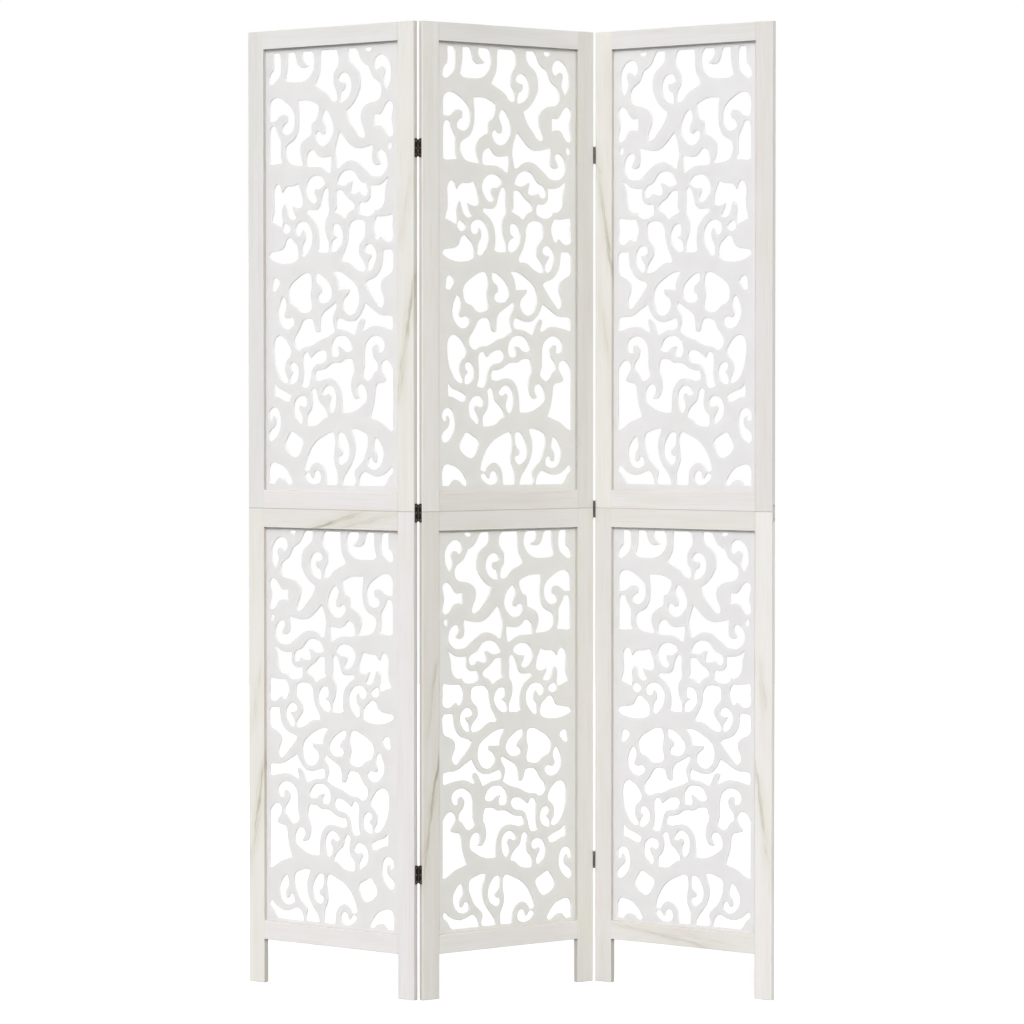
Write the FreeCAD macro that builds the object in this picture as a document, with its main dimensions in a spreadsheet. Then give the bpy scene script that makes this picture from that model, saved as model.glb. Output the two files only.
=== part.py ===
import FreeCAD, Part
import os
import re
import Sketcher
from FreeCAD import Placement, Rotation, Vector

# A folding screen of three leaves that stands in a zigzag. Each leaf is an upper and a lower frame of
# thin boards, doweled at the corners and stacked at mid height. A scroll-cut fret panel lies in a rabbet
# at the back of each frame. Butt hinges join the leaves, three to a joint.
# Lengths are millimetres. X runs left to right, the front looks towards -Y and Z is up. The origin lies
# on the floor under the middle of the standing screen.

doc = FreeCAD.newDocument("room_divider")

# Sizes, each with the name that the formulas below use
SIZES = [
    ("leaf_width", 350, "width of a leaf"),
    ("leaf_height", 1650, "height of a leaf above the floor"),
    ("leaf_thickness", 11, "thickness of the frame boards"),
    ("seam_height", 825, "where the upper frame stands on the lower frame"),
    ("stile_width", 33, "width of the upright boards"),
    ("upper_top_rail", 32, "height of the rail at the top of a leaf"),
    ("upper_bottom_rail", 32, "height of the rail above the seam"),
    ("lower_top_rail", 33, "height of the rail below the seam"),
    ("lower_bottom_rail", 32, "height of the rail above the legs"),
    ("leg_height", 76, "leg below the bottom rail"),
    ("edge_round", 1.0, "rounding of the board edges"),
    ("left_turn", 33.46, "degrees the left leaf turns towards the front"),
    ("middle_turn", 33.56, "degrees the middle leaf turns towards the back"),
    ("right_turn", 33.3, "degrees the right leaf turns towards the front"),
    ("panel_thickness", 3, "thickness of a fret panel"),
    ("panel_back_gap", 1.3, "fret panel back inside the back of the frame"),
    ("panel_lap", 6, "fret panel edge behind the frame on each side"),
    ("panel_play", 3.5, "space in the rabbet around a fret panel"),
    ("left_panel_seat", -0.92, "sideways seat of the left leaf panels, as a share of their play"),
    ("middle_panel_seat", 0.17, "sideways seat of the middle leaf panels, as a share of their play"),
    ("right_panel_seat", -0.24, "sideways seat of the right leaf panels, as a share of their play"),
    ("panel_rise", 0.4, "how far a fret panel sits above the middle of its play"),
    ("dowel_radius", 2.5, "radius of every dowel"),
    ("dowel_length", 24, "length of a corner dowel"),
    ("seam_dowel_length", 36, "length of an upright dowel across the seam"),
    ("near_dowel_share", 0.37, "first corner dowel across the unrabbeted part of a rail"),
    ("far_dowel_share", 0.78, "second corner dowel across the unrabbeted part of a rail"),
    ("dowel_wood", 0.5, "least wood between an upright dowel and the edge screws"),
    ("dowel_clearance", 0.05, "glue space around a dowel"),
    ("dowel_end_gap", 0.5, "space left at each end of a dowel"),
    ("plate_gap", 0.15, "hinge plate face to the hinge axis, along the leaf"),
    ("barrel_inset", 0.1, "how far the hinge barrel reaches in past the face of the leaf"),
    ("top_hinge_drop", 213, "middle of the top hinge below the top"),
    ("middle_hinge_drop", 2.0, "middle hinge centre below the seam"),
    ("bottom_hinge_height", 212, "middle of the bottom hinge"),
    ("plate_thickness", 0.85, "thickness of a hinge plate"),
    ("plate_height", 31.5, "height of a hinge plate"),
    ("plate_setback", 3.5, "hinge plate edge from the face away from the axis"),
    ("barrel_radius", 1.6, "radius of the hinge knuckles"),
    ("barrel_height", 23, "height of the three knuckles together"),
    ("knuckle_gap", 0.3, "space between parts of a hinge that move past each other"),
    ("pin_radius", 0.8, "radius of a hinge pin"),
    ("pin_clearance", 0.05, "running clearance around a hinge pin"),
    ("tip_overhang", 0.3, "ball tips of a pin beyond the knuckles"),
    ("tip_cut", 35, "degrees below its middle where a ball tip is flat"),
    ("screw_spacing", 11.4, "hinge screws above and below the middle one"),
    ("screw_setback", 7.0, "hinge screws from the face away from the axis"),
    ("screw_head_radius", 1.75, "radius of a countersunk head"),
    ("screw_head_inset", 0.1, "metal of the hinge plate under a countersunk head"),
    ("screw_radius", 0.95, "radius of a screw shank"),
    ("screw_length", 8, "length of a screw with its head"),
    ("screw_clearance", 0.05, "space around a screw"),
    ("slot_width", 0.5, "width of the driver slot across a screw head"),
    ("slot_depth", 0.3, "depth of the driver slot across a screw head"),
    ("strap_height", 30, "height of the joining strap on an outer edge"),
    ("strap_width", 6, "width of the joining strap"),
    ("strap_thickness", 0.8, "thickness of the joining strap"),
    ("strap_drop", 1.1, "joining strap centre below the seam"),
    ("strap_screw_spacing", 10.6, "strap screws above and below its middle"),
    ("strap_head_radius", 1.7, "radius of a round strap screw head"),
    ("strap_head_height", 0.7, "height of a round strap screw head"),
    ("centre_x", 0, "sideways position of the middle leaf, set further down"),
    ("centre_y", 0, "front to back position of the middle leaf, set further down"),
]
sheet = doc.addObject("Spreadsheet::Sheet", "Sizes")
for row, (alias, value, meaning) in enumerate(SIZES, start=1):
    sheet.set(f"A{row}", str(value))
    sheet.setAlias(f"A{row}", alias)
    sheet.set(f"B{row}", meaning)
doc.recompute()

ALIASES = {alias for alias, value, meaning in SIZES}
LEAVES = ("left", "middle", "right")
PIECES = {}

# Sizes that follow from others
DERIVED = {
    "panel_recess": "(leaf_thickness - panel_thickness - panel_back_gap)",
    "rabbet_width": "(panel_lap + panel_play)",
    "opening_width": "(leaf_width - 2 * stile_width)",
    "mid_thickness": "(leaf_thickness / 2)",
    "seam_dowel_edge": "(screw_length + dowel_radius + dowel_wood)",
    "dowel_hole": "(dowel_radius + dowel_clearance)",
    "dowel_depth": "(dowel_length / 2 + dowel_end_gap)",
    "seam_dowel_depth": "(seam_dowel_length / 2 + dowel_end_gap)",
    "hinge_half_gap": "(plate_thickness + plate_gap)",
    "hinge_offset": "(barrel_radius - barrel_inset)",
    "top_hinge_height": "(leaf_height - top_hinge_drop)",
    "middle_hinge_height": "(seam_height - middle_hinge_drop)",
    "knuckle_height": "(barrel_height / 3)",
    "tip_radius": "(barrel_radius + tip_overhang)",
    "screw_head_height": "(plate_thickness - screw_head_inset)",
    "screw_hole": "(screw_radius + screw_clearance)",
    "strap_middle": "(seam_height - strap_drop)",
}


def spelled(formula):
    """A formula with every name replaced by its cell in the sheet."""
    def replace(word):
        if word[0] in DERIVED:
            return spelled(DERIVED[word[0]])
        if word[0] in ALIASES:
            return f"Sizes.{word[0]}"
        return word[0]
    return re.sub(r"[a-z_]+", replace, formula)


def bind(obj, name, formula):
    """Tie a property to a formula written with the names above."""
    obj.setExpression(name, spelled(formula))


def seat(obj, x, y, z):
    """Tie the position of an object, in the coordinates of its own leaf."""
    bind(obj, "Placement.Base.x", x)
    bind(obj, "Placement.Base.y", y)
    bind(obj, "Placement.Base.z", z)


def block(name, x, y, z, length, depth, height):
    obj = doc.addObject("Part::Box", name)
    bind(obj, "Length", length)
    bind(obj, "Width", depth)
    bind(obj, "Height", height)
    seat(obj, x, y, z)
    return obj


# Ways a round piece can lie: upright, or along the leaf to the right or to the left
LIE = {
    "up": Rotation(),
    "right": Rotation(Vector(0, 1, 0), 90),
    "left": Rotation(Vector(0, 1, 0), -90),
}


def rod(name, lie, x, y, z, radius, length):
    obj = doc.addObject("Part::Cylinder", name)
    obj.Placement = Placement(Vector(), LIE[lie])
    bind(obj, "Radius", radius)
    bind(obj, "Height", length)
    seat(obj, x, y, z)
    return obj


def taper(name, lie, x, y, z, first_radius, last_radius, length):
    obj = doc.addObject("Part::Cone", name)
    obj.Placement = Placement(Vector(), LIE[lie])
    bind(obj, "Radius1", first_radius)
    bind(obj, "Radius2", last_radius)
    bind(obj, "Height", length)
    seat(obj, x, y, z)
    return obj


def group(name, members):
    obj = doc.addObject("Part::Compound", name)
    obj.Links = members
    return obj


def join(name, members):
    obj = doc.addObject("Part::MultiFuse", name)
    obj.Shapes = members
    return obj


def carve(name, base, tools):
    obj = doc.addObject("Part::Cut", name)
    obj.Base = base
    obj.Tool = group(name + "_tools", tools)
    return obj


def keep(label, leaf, obj):
    """Name a finished piece and carry it to where its leaf stands."""
    obj.Label = label
    obj.setExpression("Placement", f"{leaf}_leaf_place.Placement")
    PIECES[label] = obj


# Where the leaves stand: the middle leaf is placed first, the others turn about their hinge axes
def standing(name, base, turn):
    obj = doc.addObject("App::Placement", name)
    axis = "create(<<vector>>; 0; 0; 1)"
    bind(obj, "Placement", f"create(<<placement>>; {base}; create(<<rotation>>; {axis}; {turn}))")
    return obj


def spot(x, y):
    return f"create(<<vector>>; {x}; {y}; 0)"


BACK_AXIS = "leaf_thickness + hinge_offset"
FRONT_AXIS = "-hinge_offset"
LEFT_AXIS_X = "-hinge_half_gap"
RIGHT_AXIS_X = "leaf_width + hinge_half_gap"


def turned(x, y, turn):
    """Where a point of a leaf ends up, seen from the leaf's corner, once the leaf has turned."""
    return (
        f"(({x}) * cos({turn}) - ({y}) * sin({turn}))",
        f"(({x}) * sin({turn}) + ({y}) * cos({turn}))",
    )


def beside_middle(shared_x, own_x, axis_y, turn):
    """Corner of an outer leaf whose hinge axis falls on that of the middle leaf."""
    fixed = turned(shared_x, axis_y, "middle_turn")
    swung = turned(own_x, axis_y, turn)
    return spot(f"centre_x + {fixed[0]} - {swung[0]}", f"centre_y + {fixed[1]} - {swung[1]}")


standing("middle_leaf_place", spot("centre_x", "centre_y"), "middle_turn")
left_corner = beside_middle(LEFT_AXIS_X, RIGHT_AXIS_X, BACK_AXIS, "-left_turn")
standing("left_leaf_place", left_corner, "-left_turn")
right_corner = beside_middle(RIGHT_AXIS_X, LEFT_AXIS_X, FRONT_AXIS, "-right_turn")
standing("right_leaf_place", right_corner, "-right_turn")

# Heights of each frame: its foot and head, its opening, and its rails with the side their rabbet is on
FRAMES = {
    "upper": {
        "foot": "seam_height",
        "head": "leaf_height",
        "sill": "(seam_height + upper_bottom_rail)",
        "lintel": "(leaf_height - upper_top_rail)",
        "rails": {
            "top": ("leaf_height - upper_top_rail", "upper_top_rail", "below"),
            "bottom": ("seam_height", "upper_bottom_rail", "above"),
        },
    },
    "lower": {
        "foot": "0",
        "head": "seam_height",
        "sill": "(leg_height + lower_bottom_rail)",
        "lintel": "(seam_height - lower_top_rail)",
        "rails": {
            "top": ("seam_height - lower_top_rail", "lower_top_rail", "below"),
            "bottom": ("leg_height", "lower_bottom_rail", "above"),
        },
    },
}
HINGE_HEIGHTS = {
    "top": "top_hinge_height",
    "middle": "middle_hinge_height",
    "bottom": "bottom_hinge_height",
}

# What is screwed to the two edges of each leaf: a hinge with its axis at the back or front, or a strap
EDGES = {
    ("left", "left"): "strap",
    ("left", "right"): "back",
    ("middle", "left"): "back",
    ("middle", "right"): "front",
    ("right", "left"): "front",
    ("right", "right"): "strap",
}


def dowel_heights(frame, level):
    """Heights of the two dowels in a rail, in the part of it that has no rabbet."""
    base, height, rabbet_side = FRAMES[frame]["rails"][level]
    heights = []
    for share in ("near_dowel_share", "far_dowel_share"):
        step = f"{share} * ({height} - rabbet_width)"
        heights.append(f"{base} + {height} - {step}" if rabbet_side == "below" else f"{base} + {step}")
    return heights


def corner_dowel_heights(frame):
    return dowel_heights(frame, "top") + dowel_heights(frame, "bottom")


def screws_on_edge(leaf, edge):
    """Heights and depth of the screws in one edge of a leaf."""
    fitting = EDGES[leaf, edge]
    if fitting == "strap":
        offsets = ("strap_screw_spacing", "-strap_screw_spacing")
        return [(f"strap_middle + {offset}", "mid_thickness") for offset in offsets]
    depth = "screw_setback" if fitting == "back" else "leaf_thickness - screw_setback"
    spots = []
    for height in HINGE_HEIGHTS.values():
        for offset in ("screw_spacing", "0", "-screw_spacing"):
            spots.append((f"{height} + {offset}", depth))
    return spots


def board(name, x, z, length, height, eased_along):
    """Plank as thick as the leaf: a rectangle padded upwards, with rounded edges."""
    body = doc.addObject("PartDesign::Body", name + "_plank")
    plane = [item for item in body.Origin.OriginFeatures if item.Role == "XY_Plane"][0]
    outline = body.newObject("Sketcher::SketchObject", name + "_outline")
    outline.AttachmentSupport = (plane, [""])
    outline.MapMode = "FlatFace"
    corners = [Vector(0, 0, 0), Vector(30, 0, 0), Vector(30, 10, 0), Vector(0, 10, 0)]
    for corner, following in zip(corners, corners[1:] + corners[:1]):
        outline.addGeometry(Part.LineSegment(corner, following))
    for side in range(4):
        outline.addConstraint(Sketcher.Constraint("Coincident", side, 2, (side + 1) % 4, 1))
    outline.addConstraint(Sketcher.Constraint("Horizontal", 0))
    outline.addConstraint(Sketcher.Constraint("Horizontal", 2))
    outline.addConstraint(Sketcher.Constraint("Vertical", 1))
    outline.addConstraint(Sketcher.Constraint("Vertical", 3))
    outline.addConstraint(Sketcher.Constraint("Coincident", 0, 1, -1, 1))
    along = outline.addConstraint(Sketcher.Constraint("DistanceX", 0, 1, 0, 2, 30))
    through = outline.addConstraint(Sketcher.Constraint("DistanceY", 1, 1, 1, 2, 10))
    bind(outline, f"Constraints[{along}]", length)
    bind(outline, f"Constraints[{through}]", "leaf_thickness")
    pad = body.newObject("PartDesign::Pad", name + "_pad")
    pad.Profile = outline
    bind(pad, "Length", height)
    doc.recompute()
    eased = []
    for number, edge in enumerate(pad.Shape.Edges, start=1):
        direction = edge.tangentAt(edge.FirstParameter)
        if eased_along == "all" or abs(direction.x) > 0.5:
            eased.append(f"Edge{number}")
    rounding = body.newObject("PartDesign::Fillet", name + "_rounding")
    rounding.Base = (pad, eased)
    bind(rounding, "Radius", "edge_round")
    seat(body, x, "0", z)
    return body


# Upright boards: rounded all over, rabbeted at the back, drilled for dowels and screws
def stile(leaf, frame, side):
    name = f"{leaf}_{frame}_{side}_stile"
    heights = FRAMES[frame]
    x = "0" if side == "left" else "leaf_width - stile_width"
    blank = board(name, x, heights["foot"], "stile_width", f"{heights['head']} - {heights['foot']}", "all")
    rabbet_x = "stile_width - rabbet_width" if side == "left" else "leaf_width - stile_width"
    low = f"{heights['sill']} - rabbet_width"
    tall = f"{heights['lintel']} - {heights['sill']} + 2 * rabbet_width"
    tools = [block(name + "_rabbet", rabbet_x, "panel_recess", low, "rabbet_width", "leaf_thickness", tall)]
    mouth = "stile_width" if side == "left" else "leaf_width - stile_width"
    inward = "left" if side == "left" else "right"
    for number, z in enumerate(corner_dowel_heights(frame)):
        drilled = f"{name}_dowel_hole_{number}"
        tools.append(rod(drilled, inward, mouth, "mid_thickness", z, "dowel_hole", "dowel_depth"))
    upright_x = "seam_dowel_edge" if side == "left" else "leaf_width - seam_dowel_edge"
    upright_z = "seam_height" if frame == "upper" else "seam_height - seam_dowel_depth"
    drilled = name + "_seam_hole"
    tools.append(rod(drilled, "up", upright_x, "mid_thickness", upright_z, "dowel_hole", "seam_dowel_depth"))
    edge_x = "0" if side == "left" else "leaf_width"
    way_in = "right" if side == "left" else "left"
    for number, (z, y) in enumerate(screws_on_edge(leaf, side)):
        tools.append(rod(f"{name}_pilot_{number}", way_in, edge_x, y, z, "screw_hole", "screw_length"))
    keep(name, leaf, carve(name, blank, tools))


# Level boards: they run between the stiles, rounded lengthwise and rabbeted along the opening
def rail(leaf, frame, level):
    name = f"{leaf}_{frame}_{level}_rail"
    base, height, rabbet_side = FRAMES[frame]["rails"][level]
    blank = board(name, "stile_width", base, "opening_width", height, "length")
    rabbet_z = base if rabbet_side == "below" else f"{base} + {height} - rabbet_width"
    sunk = ("stile_width", "panel_recess", rabbet_z, "opening_width", "leaf_thickness", "rabbet_width")
    tools = [block(name + "_rabbet", *sunk)]
    for end, inward, x in (("left", "right", "stile_width"), ("right", "left", "leaf_width - stile_width")):
        for number, z in enumerate(dowel_heights(frame, level)):
            drilled = f"{name}_{end}_hole_{number}"
            tools.append(rod(drilled, inward, x, "mid_thickness", z, "dowel_hole", "dowel_depth"))
    keep(name, leaf, carve(name, blank, tools))


# Dowels: two in each rail end and one upright in each stile across the seam
def dowels(leaf):
    name = f"{leaf}_dowels"
    pegs = []
    for side, x in (("left", "stile_width"), ("right", "leaf_width - stile_width")):
        for frame in FRAMES:
            for number, z in enumerate(corner_dowel_heights(frame)):
                peg = f"{name}_{side}_{frame}_{number}"
                start = f"{x} - dowel_length / 2"
                pegs.append(rod(peg, "right", start, "mid_thickness", z, "dowel_radius", "dowel_length"))
    for side, x in (("left", "seam_dowel_edge"), ("right", "leaf_width - seam_dowel_edge")):
        low = "seam_height - seam_dowel_length / 2"
        peg = f"{name}_{side}_seam"
        pegs.append(rod(peg, "up", x, "mid_thickness", low, "dowel_radius", "seam_dowel_length"))
    keep(name, leaf, group(name, pegs))


# Hinge plates: a flat plate on the leaf's edge, with straps that curl into knuckles around the pin

def hinge_plate(label, leaf, edge, level, knuckles):
    axis_side = EDGES[leaf, edge]
    z = HINGE_HEIGHTS[level]
    axis_x = LEFT_AXIS_X if edge == "left" else RIGHT_AXIS_X
    plate_x = "-plate_thickness" if edge == "left" else "leaf_width"
    axis_y = BACK_AXIS if axis_side == "back" else FRONT_AXIS
    plate_y = "plate_setback" if axis_side == "back" else "0"
    strap_y = "leaf_thickness - plate_setback" if axis_side == "back" else FRONT_AXIS
    plate_low = f"{z} - plate_height / 2"
    plate_depth = "leaf_thickness - plate_setback"
    flat = (plate_x, plate_y, plate_low, "plate_thickness", plate_depth, "plate_height")
    metal = [block(label + "_flat", *flat)]
    outer_low = f"{z} - barrel_height / 2"
    inner_low = f"{z} - knuckle_height / 2"
    upper_low = f"{z} + knuckle_height / 2"
    short = f"knuckle_height - knuckle_gap / 2"
    if knuckles == "outer":
        own = [(outer_low, short), (f"{upper_low} + knuckle_gap / 2", short)]
        other = [(inner_low, "knuckle_height")]
    else:
        own = [(f"{inner_low} + knuckle_gap / 2", f"knuckle_height - knuckle_gap")]
        other = [(outer_low, "knuckle_height"), (upper_low, "knuckle_height")]
    strap_depth = "plate_setback + hinge_offset"
    for number, (low, tall) in enumerate(own):
        strap = f"{label}_strap_{number}"
        metal.append(block(strap, plate_x, strap_y, low, "plate_thickness", strap_depth, tall))
        metal.append(rod(f"{label}_knuckle_{number}", "up", axis_x, axis_y, low, "barrel_radius", tall))
    plate = join(label + "_metal", metal)
    pin_hole = "pin_radius + pin_clearance"
    tools = [rod(label + "_pin_hole", "up", axis_x, axis_y, plate_low, pin_hole, "plate_height")]
    clear = "barrel_radius + knuckle_gap"
    for number, (low, tall) in enumerate(other):
        tools.append(rod(f"{label}_clear_{number}", "up", axis_x, axis_y, low, clear, tall))
    tip_clear = "tip_radius + knuckle_gap"
    tip_tall = "(plate_height - barrel_height) / 2"
    tools.append(rod(label + "_low_tip_space", "up", axis_x, axis_y, plate_low, tip_clear, tip_tall))
    tip_low = f"{z} + barrel_height / 2"
    tools.append(rod(label + "_high_tip_space", "up", axis_x, axis_y, tip_low, tip_clear, tip_tall))
    y = "screw_setback" if axis_side == "back" else "leaf_thickness - screw_setback"
    way_in = "right" if edge == "left" else "left"
    head_x = "-plate_thickness" if edge == "left" else "leaf_width + plate_thickness"
    wide = "screw_head_radius + screw_clearance"
    for number, offset in enumerate(("screw_spacing", "0", "-screw_spacing")):
        spot_z = f"{z} + {offset}"
        sink = f"{label}_countersink_{number}"
        tools.append(taper(sink, way_in, head_x, y, spot_z, wide, "screw_hole", "screw_head_height"))
        through = f"{label}_screw_hole_{number}"
        tools.append(rod(through, way_in, head_x, y, spot_z, "screw_hole", "2 * plate_thickness"))
    keep(label, leaf, carve(label, plate, tools))


# Hinge pins: a plain rod with a flat-bottomed ball at each end
def hinge_pin(label, edge, level):
    axis_x = LEFT_AXIS_X if edge == "left" else RIGHT_AXIS_X
    axis_y = BACK_AXIS if EDGES["middle", edge] == "back" else FRONT_AXIS
    z = HINGE_HEIGHTS[level]
    low = f"{z} - barrel_height / 2 - knuckle_gap"
    length = "barrel_height + 2 * knuckle_gap"
    metal = [rod(label + "_rod", "up", axis_x, axis_y, low, "pin_radius", length)]
    reach = "barrel_height / 2 + knuckle_gap / 2 + tip_radius * sin(tip_cut)"
    for end, sign, first, last in (("high", "+", "-tip_cut", "90"), ("low", "-", "-90", "tip_cut")):
        ball = doc.addObject("Part::Sphere", f"{label}_{end}_tip")
        bind(ball, "Radius", "tip_radius")
        bind(ball, "Angle1", first)
        bind(ball, "Angle2", last)
        seat(ball, axis_x, axis_y, f"{z} {sign} ({reach})")
        metal.append(ball)
    keep(label, "middle", join(label, metal))


# Joining straps: flat strips across the seam on the two free edges of the screen
def joining_strap(leaf, edge):
    label = f"{leaf}_joining_strap"
    x = "-strap_thickness" if edge == "left" else "leaf_width"
    y = "mid_thickness - strap_width / 2"
    low = f"strap_middle - strap_height / 2"
    strip = block(label + "_strip", x, y, low, "strap_thickness", "strap_width", "strap_height")
    tools = []
    for number, (z, middle) in enumerate(screws_on_edge(leaf, edge)):
        tools.append(rod(f"{label}_hole_{number}", "right", x, middle, z, "screw_hole", "strap_thickness"))
    keep(label, leaf, carve(label, strip, tools))


# Screws: countersunk in the hinge plates, round-headed in the joining straps
def screws(leaf):
    name = f"{leaf}_screws"
    members = []
    for edge in ("left", "right"):
        outward = "-" if edge == "left" else "leaf_width + "
        way_in = "right" if edge == "left" else "left"
        strap = EDGES[leaf, edge] == "strap"
        for number, (z, y) in enumerate(screws_on_edge(leaf, edge)):
            screw = f"{name}_{edge}_{number}"
            if strap:
                x = f"{outward}strap_thickness"
                way_out = "left" if edge == "left" else "right"
                shape = ("strap_head_radius", "screw_radius", "strap_head_height")
                head = taper(screw + "_head", way_out, x, y, z, *shape)
                face = f"{outward}(strap_thickness + strap_head_height)"
            else:
                x = f"{outward}plate_thickness"
                shape = ("screw_head_radius", "screw_radius", "screw_head_height")
                head = taper(screw + "_head", way_in, x, y, z, *shape)
                face = x
            shank = rod(screw + "_shank", way_in, x, y, z, "screw_radius", "screw_length - screw_clearance")
            slot_x = face if edge == "left" else f"{face} - slot_depth"
            slot_y = f"({y}) - screw_head_radius"
            slot_z = f"{z} - slot_width / 2"
            slot_sizes = ("slot_depth", "2 * screw_head_radius", "slot_width")
            slot = block(screw + "_slot", slot_x, slot_y, slot_z, *slot_sizes)
            members.append(carve(screw, join(screw + "_blank", [head, shank]), [slot]))
    keep(name, leaf, group(name, members))


for leaf in LEAVES:
    for frame in FRAMES:
        for side in ("left", "right"):
            stile(leaf, frame, side)
        for level in ("top", "bottom"):
            rail(leaf, frame, level)
    dowels(leaf)
    screws(leaf)

for level in HINGE_HEIGHTS:
    hinge_plate(f"left_{level}_hinge_wing", "left", "right", level, "inner")
    hinge_plate(f"left_{level}_hinge_plate", "middle", "left", level, "outer")
    hinge_pin(f"left_{level}_hinge_pin", "left", level)
    hinge_plate(f"right_{level}_hinge_plate", "middle", "right", level, "outer")
    hinge_plate(f"right_{level}_hinge_wing", "right", "left", level, "inner")
    hinge_pin(f"right_{level}_hinge_pin", "right", level)

joining_strap("left", "left")
joining_strap("right", "right")
doc.recompute()

# The frames are all there now, so the screen is moved to stand with its middle over the origin
around = FreeCAD.BoundBox()
for obj in PIECES.values():
    around.add(obj.Shape.optimalBoundingBox(False, False))
sheet.set("centre_x", str(-around.Center.x))
sheet.set("centre_y", str(-around.Center.y))
doc.recompute()

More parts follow.
